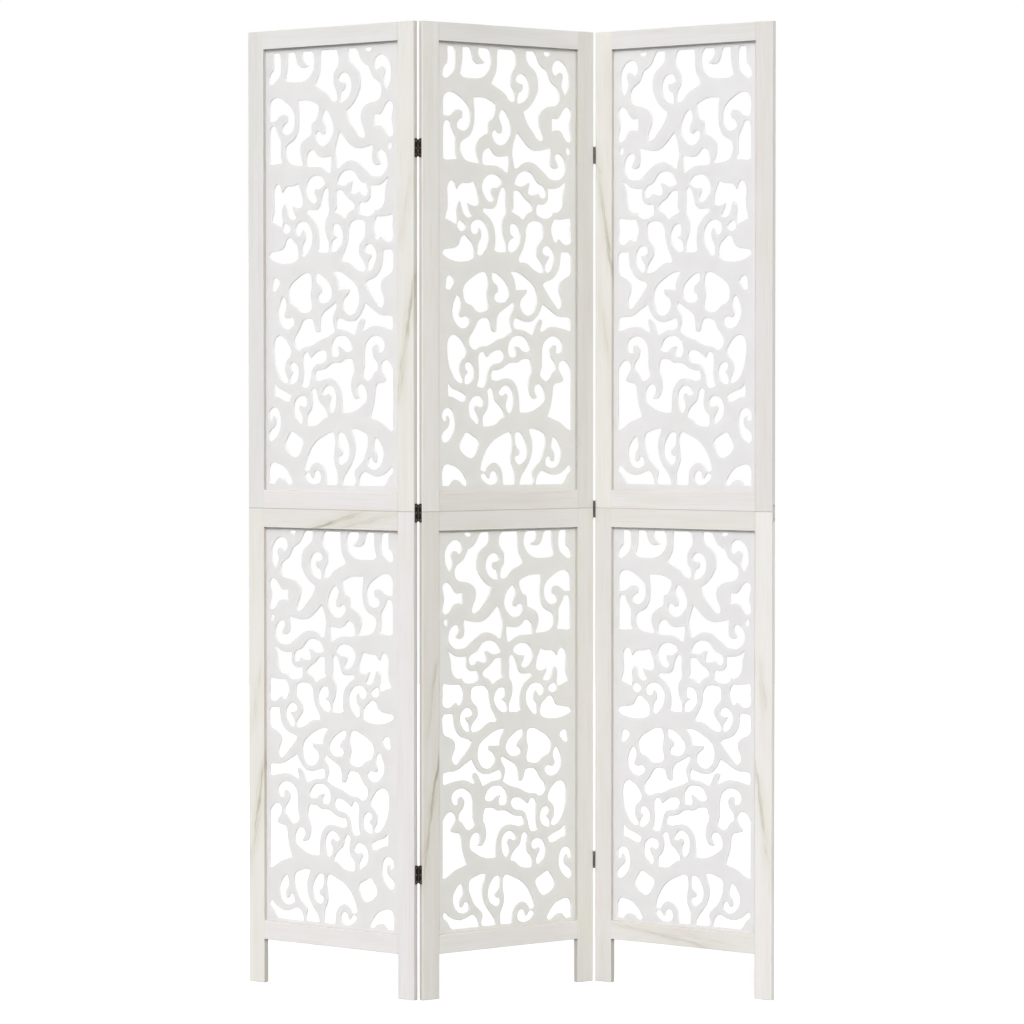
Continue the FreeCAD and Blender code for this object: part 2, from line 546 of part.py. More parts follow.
# The scroll drawing, as it looks from the front: millimetres across from the opening's left side and
# down from its top. Each opening is a chain of stretches. A stretch runs smoothly through its points to
# the first point of the next stretch; a stretch of one point is a straight line. An opening of one
# stretch is a closed smooth curve.
SCROLLS = [
    ("bar at the top left", [
        [(20.2, 7.5)],
        [(31.5, 7.5), (35, 11), (36.3, 20), (36.2, 38), (32, 49.5), (25, 56)],
        [(19.5, 60.3), (14.5, 61), (10.6, 57.5), (10.6, 49), (13.2, 43)],
        [(19.5, 36.8), (20.3, 30), (20.2, 20)],
    ]),
    ("cup with a hanging tongue", [
        [(51.3, 7.5)],
        [(64.5, 7.5), (68.6, 13), (70.2, 20.5), (74, 29.5), (79, 33.8), (87, 35)],
        [(95.6, 32.3), (92.5, 29.3), (86.5, 24), (83, 17), (82.5, 11.5)],
        [(84.8, 7.5)],
        [(101, 7.5), (106.3, 11.5), (109, 20), (109, 31), (106.3, 40.5), (99.5, 49.8), (91.5, 56),
         (80, 59), (62, 59), (51, 57.3)],
        [(45.8, 52.5), (48, 42.5), (50.2, 31), (50.5, 18)],
    ]),
    ("boot at the top", [
        [(122.8, 7.5)],
        [(152.5, 7.5), (158.3, 11.5), (160.8, 20), (160.8, 30), (155.5, 40.5), (151, 48.5),
         (150.2, 58), (151, 68), (155.8, 76.5), (158, 84.5)],
        [(158, 93), (154, 96), (149.5, 95.5)],
        [(142, 88.5), (133.5, 80), (122.5, 73.8)],
        [(110.3, 66.5), (113, 59.5), (118, 50.5), (120.7, 40), (121.4, 25)],
    ]),
    ("small hook at the top", [
        [(160, 58.5), (161.5, 54), (165.5, 49.2), (171.5, 47.2), (178.5, 49.3), (184.5, 55.5),
         (188, 65), (188.2, 75), (185.2, 84.5), (179, 92.5), (171, 97)],
        [(164, 98.3), (163.6, 90)],
        [(166.2, 79), (171.5, 76.8), (174.3, 72)],
        [(174.5, 65), (168.5, 64), (163.5, 62.3)],
    ]),
    ("long scroll at the top", [
        [(182.4, 7.5)],
        [(197, 7.5), (202.5, 13.5), (206.5, 22.5), (212.5, 31), (220, 36.5)],
        [(225, 39.3), (229, 48), (233.5, 57), (241, 63.5), (248.5, 69.5), (252, 78), (251.8, 86.5),
         (247, 95.5), (238, 99.3), (228, 100.8), (217, 106), (210, 114.5), (208.3, 124), (210.5, 136),
         (215.3, 147)],
        [(216.8, 155), (214, 160), (209, 159.5)],
        [(200, 151), (190.5, 140), (183, 129.5), (178.5, 119)],
        [(176.3, 112), (186, 105.8), (194, 97.5), (202, 85), (206.3, 73.5), (206.5, 60),
         (203.5, 47.5), (197, 38.5), (187, 30.8), (182.5, 22.5), (181.4, 14)],
    ]),
    ("half dot at the top", [
        [(221, 7.5)],
        [(229.5, 7.5), (231.8, 9.5), (229, 13), (225.5, 14.6), (221, 13.2), (218.6, 10)],
    ]),
    ("comma at the top right", [
        [(263.5, 80), (266.5, 74), (270.5, 66), (271.9, 55), (271.5, 44.5), (268.5, 35),
         (262.5, 26.5), (256, 21.8), (250, 20.6), (243, 22.5), (238, 28), (236.5, 35), (238, 42)],
        [(243.5, 46.8), (248, 43), (252.5, 40.8), (257, 43), (258.8, 48.5), (257, 56.5)],
        [(255.7, 62.5), (257.5, 69)],
    ]),
    ("large comma at the left", [
        [(11.8, 123.5), (11.1, 108), (11.8, 95)],
        [(13.2, 90.8), (19, 86), (26.5, 84.2), (35, 86), (44.5, 91.2), (54.5, 98.5), (61.5, 105.5),
         (65.8, 114), (66.8, 125), (65, 136), (60, 144.5), (53.5, 148.7), (46, 147.9), (40.4, 144),
         (39.2, 138), (42.5, 131.7)],
        [(48.2, 128.6), (50.2, 122.5), (49, 115.8), (42, 113.7), (33.5, 116.4), (27, 122.5),
         (20, 124.6)],
    ]),
    ("bone", [
        [(72.8, 91.5), (84, 91), (96, 91.6), (106.5, 94.8)],
        [(118.8, 102), (118.3, 110), (114.5, 121.5)],
        [(110.8, 127.5), (104.7, 130.8), (103, 137)],
        [(101, 151.3), (90.5, 156.5), (82.5, 163.5), (78.7, 173), (79, 184.5)],
        [(84.8, 200.5)],
        [(82.5, 203), (74, 202.5), (62, 200.5), (53.5, 196), (48, 186.5), (45.9, 176), (48, 168.5),
         (55.5, 162.8), (64, 157.8), (70, 150), (74, 138), (75.2, 123), (74.5, 106)],
    ]),
    ("hook under the boot", [
        [(130.5, 110.2)],
        [(135.5, 110.8), (141.5, 117), (147, 127.5), (150, 138.5), (149.3, 149), (144.5, 158.5),
         (136.5, 167.5), (127.5, 170.5), (119.5, 168), (113.5, 160.5), (111.2, 153), (112.5, 148)],
        [(117, 145.8), (121.5, 147.2), (125.5, 150.6), (130.5, 149.5)],
        [(131.8, 146), (131.3, 138), (127.5, 129.5), (125.6, 122.5), (127.3, 115.5)],
    ]),
    ("upright bar at the left", [
        [(11.3, 196.5), (11.1, 175), (11.4, 150), (12.8, 138)],
        [(14.5, 134), (19.5, 132.8), (24, 134)],
        [(26, 137), (30.5, 148), (36, 158.8)],
        [(36.5, 160.5), (36.2, 172), (36.5, 185)],
        [(39.4, 195.5)],
        [(37, 197.8), (26, 198.4), (15, 198.4)],
    ]),
    ("bow", [
        [(91.6, 203.5), (91.2, 195), (92.3, 186.5), (96.5, 180), (102.5, 177), (107.5, 177.2),
         (111.5, 181.5), (116.5, 187), (124, 190.3), (133, 190.2)],
        [(145.8, 188), (146, 196), (145, 206)],
        [(143, 217)],
        [(139, 216.3), (131.5, 211.3), (123, 207), (113, 205.4), (102, 205.5)],
    ]),
    ("fish at the right", [
        [(235.3, 121)],
        [(246.5, 121.7), (251, 118.3), (256.5, 109.6), (263, 102.3), (268.5, 100), (274, 102.6),
         (276.6, 109.5), (275.3, 118.5), (273.2, 128), (274.2, 139.5), (276.6, 150), (275.3, 157.5),
         (270.5, 160.3), (265.5, 157.8)],
        [(258, 147), (251.5, 141), (244, 140.4)],
        [(236, 142.4)],
    ]),
    ("sliver at the right", [
        [(269.8, 169.7), (273.8, 176), (269.8, 182.5), (265.8, 176)],
    ]),
    ("large fish with a hook", [
        [(163, 146.8), (171, 155.5), (179.5, 164.8), (188.5, 172.5), (198, 176.8), (209, 177.3),
         (220, 175.3)],
        [(233.4, 171.8), (233, 182), (232.2, 194), (235, 203.3), (241.5, 207.2)],
        [(248.4, 205), (247.5, 199.5), (243.7, 192.5), (242.7, 186.5), (245.5, 181.8), (250.5, 181),
         (257, 184.3), (262.3, 191.5), (264.7, 201), (264.3, 210), (259.5, 218.5), (251, 225.5),
         (241, 226.5), (231, 224.5), (221.5, 216.5), (211, 208.3), (201.5, 201), (190, 197.3),
         (178.5, 198.7)],
        [(166, 206), (162.5, 208.8)],
        [(157.6, 208.5), (154.5, 195), (152.9, 182), (155, 169), (159.5, 154.5)],
    ]),
    ("bitten kidney", [
        [(157.5, 236.2), (160.5, 226.5), (167.5, 217.8), (177.5, 213.7), (187.5, 214), (196, 218.8),
         (202.5, 228), (209.5, 234.3), (218, 238.3), (222.3, 244.5), (222.5, 252), (218.5, 258),
         (213, 257.5)],
        [(209, 252), (204, 251.2), (196.5, 253.8), (189, 253.5)],
        [(186.2, 251.5), (186.8, 243)],
        [(189.8, 234), (186, 233), (179.5, 236.8), (171, 239.6), (163.5, 238.5)],
    ]),
    ("arrowhead", [
        [(155.2, 248.5), (161, 247), (168, 248.2), (174, 253.8), (182, 261.8), (191, 268.5),
         (195, 275.5), (192.5, 280.8), (184.5, 284.8), (179.8, 289)],
        [(176.5, 295.3), (172.5, 294.8)],
        [(168, 290.8), (160, 287.5)],
        [(151.7, 283.8)],
        [(155.7, 277)],
    ]),
    ("boot at the right", [
        [(227.8, 241), (240, 241.8), (251, 239), (259, 233.2)],
        [(266.3, 228.5), (262.8, 238.5), (259.8, 251), (259, 264), (255, 275), (247.5, 281.6)],
        [(238, 282.3), (234.8, 288), (228, 292.4), (218, 292.8), (207.5, 289.5)],
        [(204.2, 287), (203.2, 279), (204.8, 271.3)],
        [(213, 269.8), (221.5, 267.5), (227, 260.5), (227.8, 250)],
    ]),
    ("double arch at the left", [
        [(15.8, 299.3), (17.3, 290)],
        [(20.2, 283), (20.7, 270), (20, 255), (20.3, 243.5), (24, 236.5), (29.5, 233.6),
         (34.8, 236.8), (37.3, 243)],
        [(39.6, 248.2), (43.5, 242), (49, 238.2), (58, 237.7), (67.5, 236)],
        [(74, 233), (79.5, 246), (83, 258.5), (83.5, 268)],
        [(81.5, 273.5), (75, 275.3), (67, 273.8)],
        [(61, 271.2), (63, 278.5)],
        [(69.8, 291.8), (62.5, 295.3), (55, 292), (50.5, 283), (47.8, 274), (45, 268.3), (41, 272.5),
         (38.8, 282), (38.8, 303)],
        [(37.5, 306.5), (30, 304.3), (22, 300.3)],
    ]),
    ("comma in the middle", [
        [(109.6, 244.2), (108.8, 249.5), (112, 257), (114.3, 263.5), (111.5, 267.3), (105, 267.2),
         (98.8, 262.5), (93, 253.5), (90.1, 243.5), (92, 234.5), (97.5, 226.5), (105, 221.9),
         (114.5, 221), (123.5, 223.3), (130, 229.3), (131, 234.8), (126.5, 240)],
        [(120.5, 243.8)],
    ]),
    ("tall fork", [
        [(131.5, 243.2)],
        [(136.5, 242.5), (138.8, 246), (139.3, 262), (139.2, 287)],
        [(135.5, 293), (132.6, 302), (132.4, 313), (135, 325), (139, 335), (139.9, 347)],
        [(139, 352.8), (128, 353.4), (119, 351.8)],
        [(116, 349.5), (118, 338), (117.8, 324), (114, 307.5), (106.5, 296), (97.5, 288.3)],
        [(92.3, 284.5)],
        [(93.5, 279), (104, 279.7), (114, 278.6), (119.5, 273.5), (123.3, 262), (126, 252.5)],
    ]),
    ("small diamond", [
        [(45, 300.2), (51, 303), (57.5, 311), (52.5, 317.5), (46, 318.3), (41, 313.5), (40.5, 306)],
    ]),
    ("hook in the middle", [
        [(67.2, 311), (70, 304.5), (76.5, 299.8), (85, 298.6), (92.5, 301), (99.5, 308.3),
         (103.9, 317.5), (104.7, 327), (102.5, 338.5), (97.5, 348.5), (91.5, 356)],
        [(88.5, 359), (83.5, 359)],
        [(82, 350), (82.2, 341.5)],
        [(87.2, 333.2), (88.8, 326), (88, 317.5)],
        [(84, 312.3), (81.3, 317.5), (77, 323.2), (72, 322.8), (68.6, 317.5)],
    ]),
    ("small bracket", [
        [(149.5, 305.8), (156, 304.2), (162.5, 306.5), (167.8, 314), (170.3, 323), (169.5, 333),
         (165, 342), (157.5, 350), (150.5, 352.6), (145.5, 350.8), (144.2, 343.5), (146.5, 334.5)],
        [(152, 330.3)],
        [(156.8, 327)],
        [(150.5, 323.5), (148.3, 316)],
    ]),
    ("boot in the middle", [
        [(181.2, 318), (183, 309), (187.5, 302.5), (195.5, 298.7), (205, 298.3), (213.5, 300.5)],
        [(217.8, 305), (217.8, 313), (216.8, 325), (212, 332.5), (206, 340.5), (204, 349),
         (205.5, 358.5), (211.5, 366.5), (217, 376), (217.9, 383)],
        [(215.5, 386.8), (206.5, 386), (197.5, 381.5), (189, 374.5), (181, 370.6)],
        [(169.5, 370.3)],
        [(166.1, 366.8), (168.3, 359.5), (174.5, 347.5), (179.3, 334)],
    ]),
    ("small hook at the right", [
        [(216.2, 349.5), (218.5, 343.5), (224.5, 340.5), (230.5, 341.3), (236.5, 346.5), (240.5, 355),
         (240.7, 364), (237.5, 374), (231.5, 383)],
        [(226.5, 386.6), (223, 384.5)],
        [(222.5, 377), (225, 368), (229, 362)],
        [(229.8, 357.2), (222.5, 356.7), (217.8, 354)],
    ]),
    ("block at the right", [
        [(241.3, 294.2), (255, 294.3), (266, 293)],
        [(272.5, 291.3)],
        [(275.5, 292.8)],
        [(276.5, 303), (276.4, 325), (274.3, 333.8), (267, 337.3), (259.5, 335.6), (254.5, 330.3)],
        [(248.8, 328.2)],
        [(244.8, 333.6), (240.3, 331.5)],
        [(238, 326), (234.7, 315.5), (235.6, 304.5)],
    ]),
    ("banana at the left", [
        [(9.6, 357.5), (11.2, 352.8)],
        [(16.5, 350.2), (27, 348.8), (36.5, 346.3), (43, 340.7), (46.3, 332.5), (50.5, 327),
         (57, 326.2), (63, 331.2), (70.5, 338.7), (73.8, 346.5), (74.2, 357.5)],
        [(73.5, 362.5), (68, 366.5), (56, 369.8), (43, 370.6), (29, 368.3), (17, 363.5)],
    ]),
    ("curl at the right", [
        [(254.8, 351.2), (263, 350.3)],
        [(272, 350.6), (276.2, 355), (276.6, 369), (276.2, 381.5), (272.5, 389.5), (263, 394.8),
         (254.5, 400.7), (251, 408), (251.2, 418), (255, 428), (256.9, 436)],
        [(254.5, 445), (251, 448)],
        [(243, 441.8), (233, 430.5), (222.5, 416.5)],
        [(217, 407.8), (220.5, 403.6), (232, 399.3), (243, 391.5), (250.3, 380), (253.7, 366)],
    ]),
    ("tear at the left", [
        [(19.5, 396.5), (25, 394.5), (31, 398), (33.5, 404), (29, 412), (22.5, 418.3), (17.6, 417),
         (17.6, 406)],
    ]),
    ("pear", [
        [(51.4, 421.5), (53.5, 412.8), (61, 403.5), (71, 396.8), (81.5, 390.3), (91, 387.3),
         (97.5, 388)],
        [(100.5, 390.5), (103, 400.5), (102.8, 410), (100.6, 421.5), (101.2, 432), (103.3, 441),
         (102.5, 449)],
        [(95, 454), (86, 456), (78, 453.3), (71, 446.3), (63.5, 442.4), (57.5, 439.5), (53.3, 431)],
    ]),
    ("kidney in the middle", [
        [(111.5, 388.5), (120.5, 389.9), (129, 395), (138, 403), (144.5, 412.5), (146.4, 421),
         (143.5, 431), (137, 437.6), (127, 439), (119, 437), (115.9, 431.5), (117, 426)],
        [(122, 422.3), (123.2, 418), (121.8, 411.3)],
        [(115.5, 405.8), (111.5, 398)],
    ]),
    ("large comma in the middle", [
        [(148.8, 386.3), (158, 385.8), (168, 388.3), (179, 394.5), (191, 402.8), (199.5, 411.5),
         (204.2, 423), (204.5, 435), (201, 448), (195, 456.8), (185.5, 460.6), (176.5, 456.5),
         (170.7, 448.5), (169.4, 439), (172.5, 432), (179, 426.3)],
        [(182.8, 420)],
        [(182.6, 415.8)],
        [(160.3, 417), (159.2, 406), (155.5, 396)],
    ]),
    ("hook at the left", [
        [(41, 427.6), (45.7, 431.8), (47.7, 441), (45.8, 451), (44, 459.5), (48.5, 464.8),
         (56, 463.2), (63, 465.3), (65, 471), (61.5, 478.5), (54.5, 483), (46, 482.3), (37.5, 476),
         (31.8, 466.5), (29.8, 455), (31.5, 443.5), (36, 432.5)],
    ]),
    ("horned scroll", [
        [(64, 501.5), (66.8, 495.5), (73, 487.5), (78.8, 477.5), (82, 471.5), (88, 467.2),
         (96, 465.8), (103.5, 467)],
        [(106.5, 470.5), (109, 480), (113, 488)],
        [(119.3, 488.8), (120.4, 480), (121, 468), (125.5, 458), (134.5, 451.2), (145, 444.5)],
        [(153.5, 438.5), (156.8, 443), (154.3, 451), (149.3, 461), (148.3, 471), (151, 481)],
        [(152, 488), (146, 492.2), (134, 498.3), (120, 502.8), (108, 509.3), (97.5, 513.2),
         (86, 514.7)],
        [(80.5, 517.8), (73.5, 519.3), (67.3, 515), (64.3, 508)],
    ]),
    ("double fish at the right", [
        [(216.8, 439.8), (225, 445.8), (235, 452.3), (244.5, 458.5), (256, 462), (268, 462.3)],
        [(275.2, 464.5), (276, 475), (274.8, 484)],
        [(274, 486.3), (262, 483.2), (250, 480.3), (238, 479.2), (227.5, 480.8), (220, 485)],
        [(214.5, 488.3)],
        [(211.8, 486.5), (213.8, 478), (215, 468.5)],
        [(212.5, 466.2), (207.5, 468.5), (202.5, 475.5), (197.5, 488)],
        [(194.3, 494.3), (186, 490.3), (175, 485.6), (164, 484.6)],
        [(157.3, 482), (155.7, 475.5), (157.5, 467)],
        [(161.5, 465), (171, 468.3), (183, 471.5), (195, 470), (205, 461.8), (212.5, 449.5)],
    ]),
    ("leaf at the left", [
        [(19.5, 517), (20.5, 506), (24.5, 498), (32, 494.6), (39.5, 496.5), (48.5, 503.5), (55, 513),
         (58.7, 522), (56.5, 529)],
        [(50.5, 535), (46, 542.5), (44.6, 552), (46.2, 559.5)],
        [(49.8, 566), (49.8, 575.8)],
        [(46.5, 576.5), (38.5, 572.8), (30.5, 562.5), (24.5, 549.5), (20.6, 533)],
    ]),
    ("small bracket at the left", [
        [(55.5, 545), (58.5, 541.8), (64.5, 541), (70.5, 544.8), (74.3, 552.5), (74.6, 561.5),
         (71.8, 570.5), (65.5, 576.3), (57.5, 578.3)],
        [(54.8, 577), (54.8, 568)],
        [(56.7, 562.5)],
        [(60.6, 559.3)],
        [(60.6, 556.8), (57.2, 552.5)],
    ]),
    ("branch", [
        [(83.2, 540), (83.3, 531.5), (86.5, 525.3), (91.5, 523.5)],
        [(95.3, 523.8), (97.5, 528)],
        [(100.5, 532.8), (107.5, 527), (116, 521.8), (126, 520), (132.5, 521.8), (135.5, 527.5),
         (133.5, 535.5), (126.5, 541.5), (117.5, 543), (109.5, 546.3), (103.5, 555.5), (100.5, 566.5),
         (97.8, 577)],
        [(94, 583.8), (88, 584.3)],
        [(81.2, 582)],
        [(80.5, 579.8), (83.3, 570), (84.3, 557)],
    ]),
    ("arch", [
        [(144.2, 517), (145.8, 509), (150.5, 501.5), (157.5, 496.8), (167, 495.5), (176, 496.8),
         (182.5, 501.5), (187.3, 509)],
        [(190, 516), (188, 520.8), (180, 522.8), (174.5, 521.5), (168.5, 516.3), (163, 513.6)],
        [(158, 513.8), (160.3, 520), (160.8, 527)],
        [(158.3, 531.7)],
        [(148.2, 531.7), (145, 524)],
    ]),
    ("crook at the right", [
        [(214.9, 535), (215.5, 519), (219, 507.5), (226, 500.3), (234.5, 496.3), (245, 496.8),
         (253.5, 501.5), (258, 510), (256.8, 518.5)],
        [(253, 524.3)],
        [(244.7, 525), (245.3, 517), (243.5, 511.8), (238, 511.5), (233.3, 516), (232.8, 526),
         (236, 534), (241.5, 540.5), (244, 549)],
        [(242, 555), (233, 564), (227, 571.2)],
        [(223, 572.5), (216.5, 569.5), (212, 564.5), (212, 557.5)],
        [(215, 549.5)],
    ]),
    ("anchor with a hook", [
        [(110.6, 571), (110.3, 558.5)],
        [(112, 555), (123, 554.2), (133.5, 550.5), (142.5, 544.3), (153.5, 541.7), (165, 541),
         (172, 536.5), (181, 535), (188, 535.3)],
        [(190.8, 537), (193, 546), (193, 559)],
        [(191, 562.5), (188.2, 571), (187.2, 583), (189.8, 594), (195.5, 602)],
        [(204.8, 602.3), (201.8, 595.8), (199.3, 588.5), (201, 581.5), (207, 578.6), (213.8, 580.5),
         (219.3, 588.3), (221.3, 598), (219.5, 607), (211.5, 614.3), (199, 622), (184, 626.6)],
        [(168.7, 626.5), (167.5, 612), (166, 595.5), (161.5, 582), (153.5, 572), (144.5, 568.3),
         (132, 569.2)],
        [(120.5, 572.5)],
    ]),
    ("tall board at the right", [
        [(250.2, 549), (251.8, 542.5), (256.5, 538.3), (262.5, 537.6), (269.5, 542), (275, 550)],
        [(276.3, 553)],
        [(276.2, 655.5)],
        [(273.5, 657.5), (264, 652.3), (252, 643.7), (240, 639)],
        [(227.2, 634.5), (231.7, 621), (236, 605.5), (237.8, 590.5), (240.3, 580)],
        [(243.5, 577), (253, 575.5)],
        [(259.8, 572.5), (256, 562), (251.5, 554.8)],
    ]),
    ("slanted block at the left", [
        [(21, 577.8)],
        [(25, 578.8), (31.5, 585.5), (42, 589.8), (53, 594.8)],
        [(58.3, 598.5)],
        [(55, 607.3)],
        [(49.5, 608.2), (40, 604.8), (31, 600.3)],
        [(22, 599.3)],
        [(20.8, 589)],
    ]),
    ("lower hook", [
        [(63.2, 619), (64.5, 611), (69.5, 603), (77, 598.9), (86, 598.9), (91.5, 603), (93, 610),
         (90, 616.3), (84.5, 616.8)],
        [(78.8, 614.2), (75.7, 617.5), (77.5, 624.5), (82.3, 633)],
        [(83, 640), (80.5, 646)],
        [(73.5, 640.5), (66.5, 634), (63.9, 627)],
    ]),
    ("bottle", [
        [(101, 590.8), (104, 586.5), (108.5, 585), (112.7, 588.5), (115, 597), (118.5, 607),
         (126.5, 614.3), (133, 622)],
        [(136.8, 635), (125, 640), (117.5, 646.5), (107.5, 649.8)],
        [(93.3, 650), (91.7, 641.5), (93, 632), (99, 624.5), (103, 615), (103.2, 601)],
    ]),
    ("lower comma", [
        [(124.7, 592.5), (128.5, 586.5), (135.5, 581.3), (143, 581), (150, 585.3), (154.6, 593.8),
         (155.7, 604), (154.3, 615.5), (150.5, 624)],
        [(145.8, 628.3), (141.5, 622.5), (139.7, 612)],
        [(142.8, 603.5), (142.5, 596.5)],
        [(141, 594.5), (136.5, 595.2), (131, 598), (126.3, 596.5)],
    ]),
    ("question hook at the left", [
        [(9.4, 632), (11, 624), (16.5, 619.5), (24, 619), (30.5, 623.5), (34.3, 634), (35.4, 645),
         (33.5, 656), (28, 666.5), (20, 674.5), (13.5, 677), (8.9, 672), (9, 663.5), (13, 658)],
        [(19.5, 653), (23.8, 645), (23.5, 636.5), (19.8, 631.5)],
        [(17.4, 634), (15.5, 640)],
        [(11.5, 640), (9.6, 636)],
    ]),
    ("large diamond", [
        [(58.5, 660.5), (63, 661), (73, 666.8), (81.5, 671.8), (84.6, 678), (81.5, 687.5), (75, 699),
         (68.5, 703.8), (60, 701.8), (50, 694.8), (44.6, 686), (45.5, 677.5), (51, 668.5)],
    ]),
    ("large bell at the bottom", [
        [(87, 723), (89.5, 711.5), (95, 698.5), (101.5, 687.3), (109.5, 678.5), (120, 671),
         (132, 665.3), (143, 660.8)],
        [(148, 660.5)],
        [(151.5, 664), (153.4, 679), (151, 697), (151, 711), (155.5, 722.5)],
        [(158.2, 730)],
        [(157.8, 748)],
        [(155.5, 750.5)],
        [(134.5, 750.5), (133.2, 741), (131.3, 727), (124.5, 716.6), (115.5, 712.2), (106.5, 714.3),
         (101, 719.5)],
        [(97.5, 726), (90.5, 726.3)],
    ]),
    ("small curl at the bottom", [
        [(87.8, 735.5), (90.5, 731.2), (96.5, 730.5), (100.5, 734.8), (104.3, 739.5), (106.3, 735),
         (107.5, 730), (112.5, 726.8), (118.5, 728)],
        [(121, 731), (121.2, 743.5)],
        [(118.5, 747), (110.5, 749.8), (101, 748.3), (92.5, 742.5)],
    ]),
    ("kidney at the bottom", [
        [(158.3, 668), (159.5, 662.3), (166, 660.5), (172.5, 663.8), (179, 673), (183, 684),
         (183.5, 695), (180, 706.3), (172, 713.8), (166.5, 715.8), (160.5, 711), (158.8, 705.3)],
        [(160, 701.5), (166, 699.8)],
        [(168.2, 697), (167.5, 691.5), (162.5, 686.5), (159, 678)],
    ]),
    ("scroll at the bottom", [
        [(187.5, 656), (192, 654.8), (202, 655.8), (213, 659.8), (220.5, 664.2), (223, 672),
         (222, 684.5), (217, 698), (211, 709.5), (202.5, 718), (196.3, 725)],
        [(194.9, 733), (195, 749)],
        [(193.5, 750.5)],
        [(169, 750.5), (169.3, 742.5), (174.5, 732), (183, 720.8), (189.5, 710), (194, 696.5),
         (195.2, 682), (192.5, 670.3)],
    ]),
    ("hook at the bottom right", [
        [(238.3, 668.3), (243.5, 671), (251, 680.3), (255.3, 690.5), (255.3, 700), (251.5, 712),
         (244, 720.5), (236.5, 723), (228, 720.8)],
        [(222.8, 717), (222.8, 709), (225.3, 704), (229, 703)],
        [(232.8, 703.8), (235.5, 710), (239, 711.8), (241.3, 706), (240, 696)],
        [(235.3, 689), (234.9, 679)],
    ]),
    ("banana at the bottom right", [
        [(202.2, 750.5), (203.8, 740.5), (208.5, 731.3), (215, 727.6), (222, 729), (232, 733.5),
         (243, 735), (254, 732), (263, 726.3)],
        [(270, 719.3)],
        [(274.8, 719), (275.8, 726)],
        [(273.5, 730.3), (266, 737.8), (261, 746.5)],
        [(256.5, 750.5)],
    ]),
    ("half arch at the bottom left", [
        [(9.5, 750), (8.9, 735), (9.8, 723)],
        [(12.5, 717), (20, 713.8), (30, 715.8), (41, 720.3), (50, 728.3), (56.5, 738), (60, 746.5)],
        [(58.3, 750.5), (53, 750.3)],
        [(46.5, 744.8), (38, 740.7), (30, 741.3), (24.5, 746.8)],
        [(21.5, 750.5)],
    ]),
]

# The drawing fills an opening this wide and high, and starts this far from its left side
DRAWN_WIDTH = 287.3
DRAWN_HEIGHT = 761
DRAWN_START = 0.5
# Heights in the drawing that move when it is shortened for the lower frame, and where they move to
DRAWN_LEVELS = (0, 7.5, 290, 500, 750, 761)
SHORT_LEVELS = (0, 4.8, 259, 443.5, 678, 684)


def shortened(height):
    """A height in the drawing, moved to where the shorter lower panel has it."""
    for first in range(len(DRAWN_LEVELS) - 1):
        low, high = DRAWN_LEVELS[first], DRAWN_LEVELS[first + 1]
        if height <= high:
            share = (height - low) / (high - low)
            return SHORT_LEVELS[first] + share * (SHORT_LEVELS[first + 1] - SHORT_LEVELS[first])


def size(formula):
    """Value of a formula written with the names above."""
    return float(sheet.evalExpression(spelled(formula)))


def curve(points):
    if len(points) == 2:
        return Part.LineSegment(*points).toShape()
    line = Part.BSplineCurve()
    line.interpolate(points)
    return line.toShape()


def scroll(stretches, place):
    """Outline of one scroll opening."""
    if len(stretches) == 1:
        line = Part.BSplineCurve()
        line.interpolate(Points=[place(*point) for point in stretches[0]], PeriodicFlag=True)
        edges = [line.toShape()]
    else:
        edges = []
        for stretch, following in zip(stretches, stretches[1:] + stretches[:1]):
            edges.append(curve([place(*point) for point in stretch + following[:1]]))
    return Part.Wire(edges)


# Fret panels: thin boards with the scroll drawing sawn out, turned over in some frames
TURNED_OVER = {("left", "lower"), ("middle", "lower"), ("right", "upper")}


def fret_panel(leaf, frame):
    name = f"{leaf}_{frame}_fret_panel"
    sill = FRAMES[frame]["sill"]
    lintel = FRAMES[frame]["lintel"]
    shift = f"{leaf}_panel_seat * panel_play"
    front = size("panel_recess")
    left_x = size(f"stile_width + {shift}")
    top_z = size(f"{lintel} + panel_rise")
    stretch_x = size("opening_width") / DRAWN_WIDTH
    opening_height = size(f"{lintel} - {sill}")
    turned_over = (leaf, frame) in TURNED_OVER

    def place(across, down):
        across += DRAWN_START
        if turned_over:
            across = DRAWN_WIDTH - across
        if frame == "lower":
            share = shortened(down) / SHORT_LEVELS[-1]
        else:
            share = down / DRAWN_HEIGHT
        return Vector(left_x + across * stretch_x, front, top_z - share * opening_height)

    lap = size("panel_lap")
    low = Vector(left_x - lap, front, top_z - opening_height - lap)
    high = Vector(left_x + size("opening_width") + lap, front, top_z + lap)
    corners = [low, Vector(high.x, front, low.z), high, Vector(low.x, front, high.z), low]
    wires = [Part.makePolygon(corners)]
    for title, stretches in SCROLLS:
        wires.append(scroll(stretches, place))
    drawing = doc.addObject("Part::Feature", name + "_drawing")
    drawing.Shape = Part.makeFace(wires, "Part::FaceMakerBullseye")
    panel = doc.addObject("Part::Extrusion", name)
    panel.Base = drawing
    panel.DirMode = "Custom"
    panel.Dir = Vector(0, 1, 0)
    panel.Solid = True
    bind(panel, "LengthFwd", "panel_thickness")
    keep(name, leaf, panel)


for leaf in LEAVES:
    for frame in FRAMES:
        fret_panel(leaf, frame)
doc.recompute()

# Every piece must be sound before it is written
for obj in doc.Objects:
    if "Invalid" in obj.State or "Error" in obj.State:
        raise RuntimeError(f"{obj.Label} did not build")
for label, obj in PIECES.items():
    if obj.Shape.isNull() or not obj.Shape.isValid() or not obj.Shape.Solids:
        raise RuntimeError(f"{label} is not a sound solid")

os.makedirs("parts", exist_ok=True)
for label, obj in PIECES.items():
    obj.Shape.exportStep(f"parts/{label}.step")
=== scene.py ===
import bpy
from math import radians
from mathutils import Matrix

